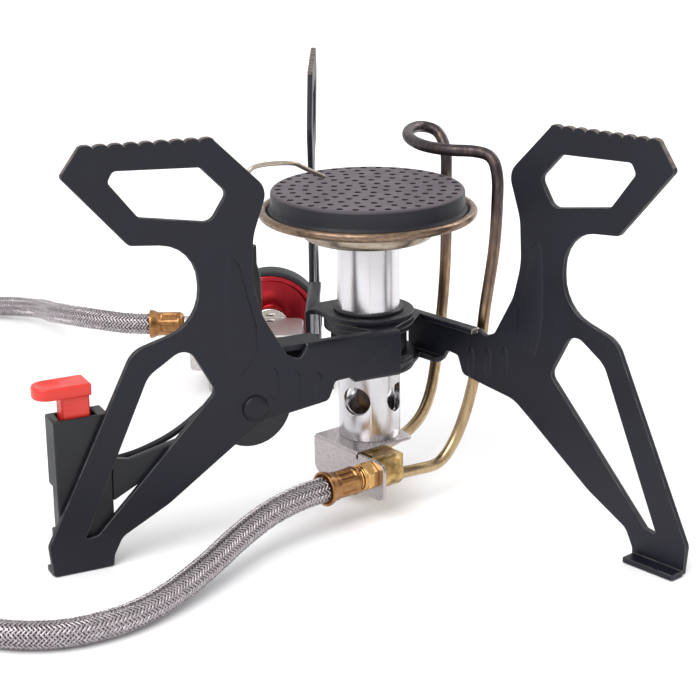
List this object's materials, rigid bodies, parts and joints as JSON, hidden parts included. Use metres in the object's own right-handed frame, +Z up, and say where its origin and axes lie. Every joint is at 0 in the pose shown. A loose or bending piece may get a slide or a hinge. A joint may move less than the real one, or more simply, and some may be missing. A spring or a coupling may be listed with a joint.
{
  "type": "canister stove",
  "caption": "Remote gas canister stove with folding sheet legs as pot supports, perforated burner, generator tube, piezo igniter, and a braided hose to an upright canister valve.",
  "frame": {"origin": "on the ground directly under the burner axis", "axes": "+Z up along the mixer tube; +X to the right and +Y to the rear, with the igniter leg at the left front, the second leg at the right front and the third leg at the rear"},
  "size_m": [0.2582, 0.2684, 0.1096],
  "materials": {
    "black_steel": "satin heat-proof black coating",
    "cap_steel": "matt dark grey, heat darkened",
    "tinted_steel": "brown heat-tinted stainless steel",
    "plain_steel": "brushed stainless steel",
    "tube_aluminium": "turned",
    "valve_aluminium": "bead blasted",
    "brass": "machined",
    "ferrule_brass": "crimped, dull",
    "generator_steel": "bronze heat-tinted",
    "braid": "woven stainless wire",
    "chrome_metal": "polished",
    "spring_steel": "plain",
    "black_plastic": "fine grained",
    "red_plastic": "moulded",
    "red_aluminium": "red anodised",
    "rubber": "matt",
    "ceramic": "piezo ceramic"
  },
  "bodies": {
    "burner": {"mixer_tube": "tube_aluminium", "burner_cap": "cap_steel", "burner_cup": "tinted_steel", "burner_collector": "tinted_steel", "hub_spacer": "black_steel", "hub_clips": "spring_steel", "tube_bracket": "plain_steel", "gas_block": "brass", "gas_jet": "brass", "inlet_nut": "brass", "generator_tube": "generator_steel", "hose": "braid", "ferrule_near": "ferrule_brass", "ferrule_far": "ferrule_brass", "valve_body": "valve_aluminium", "canister_skirt": "valve_aluminium", "canister_seal": "rubber", "valve_pin": "brass", "gland_nut": "chrome_metal", "spindle_seal": "rubber"},
    "left_leg": {"leg_left": "black_steel", "igniter_housing": "black_plastic", "igniter_strap": "black_plastic", "igniter_rivet": "black_steel", "button_spring": "spring_steel", "piezo_cell": "ceramic", "spark_lead": "black_plastic", "electrode_sleeve": "black_plastic", "electrode_wire": "plain_steel"},
    "igniter_push": {"igniter_button": "red_plastic"},
    "right_leg": {"leg_right": "black_steel"},
    "rear_leg": {"leg_rear": "black_steel"},
    "knob": {"valve_spindle": "brass", "knob_disc": "red_aluminium", "knob_rim": "rubber", "knob_screw": "plain_steel"}
  },
  "joints": [
    {"name": "left_leg_swing", "type": "hinge", "parent": "burner", "child": "left_leg", "pos_m": [0, 0, 0.045], "axis": [0, 0, 1], "range_deg": [-60, 0]},
    {"name": "right_leg_swing", "type": "hinge", "parent": "burner", "child": "right_leg", "pos_m": [0, 0, 0.045], "axis": [0, 0, 1], "range_deg": [-60, 0]},
    {"name": "rear_leg_swing", "type": "hinge", "parent": "burner", "child": "rear_leg", "pos_m": [0, 0, 0.045], "axis": [0, 0, 1], "range_deg": [-55, 0]},
    {"name": "button_press", "type": "slide", "parent": "left_leg", "child": "igniter_push", "axis": [0, 0, -1], "range_m": [0, 0.005], "stiffness_N_per_m": 600, "springref_m": -0.002, "deforming": ["button_spring"]},
    {"name": "knob_turn", "type": "hinge", "parent": "burner", "child": "knob", "pos_m": [-0.031, 0.1, 0.0172], "axis": [0, 1, 0], "range_deg": [0, 900]}
  ]
}
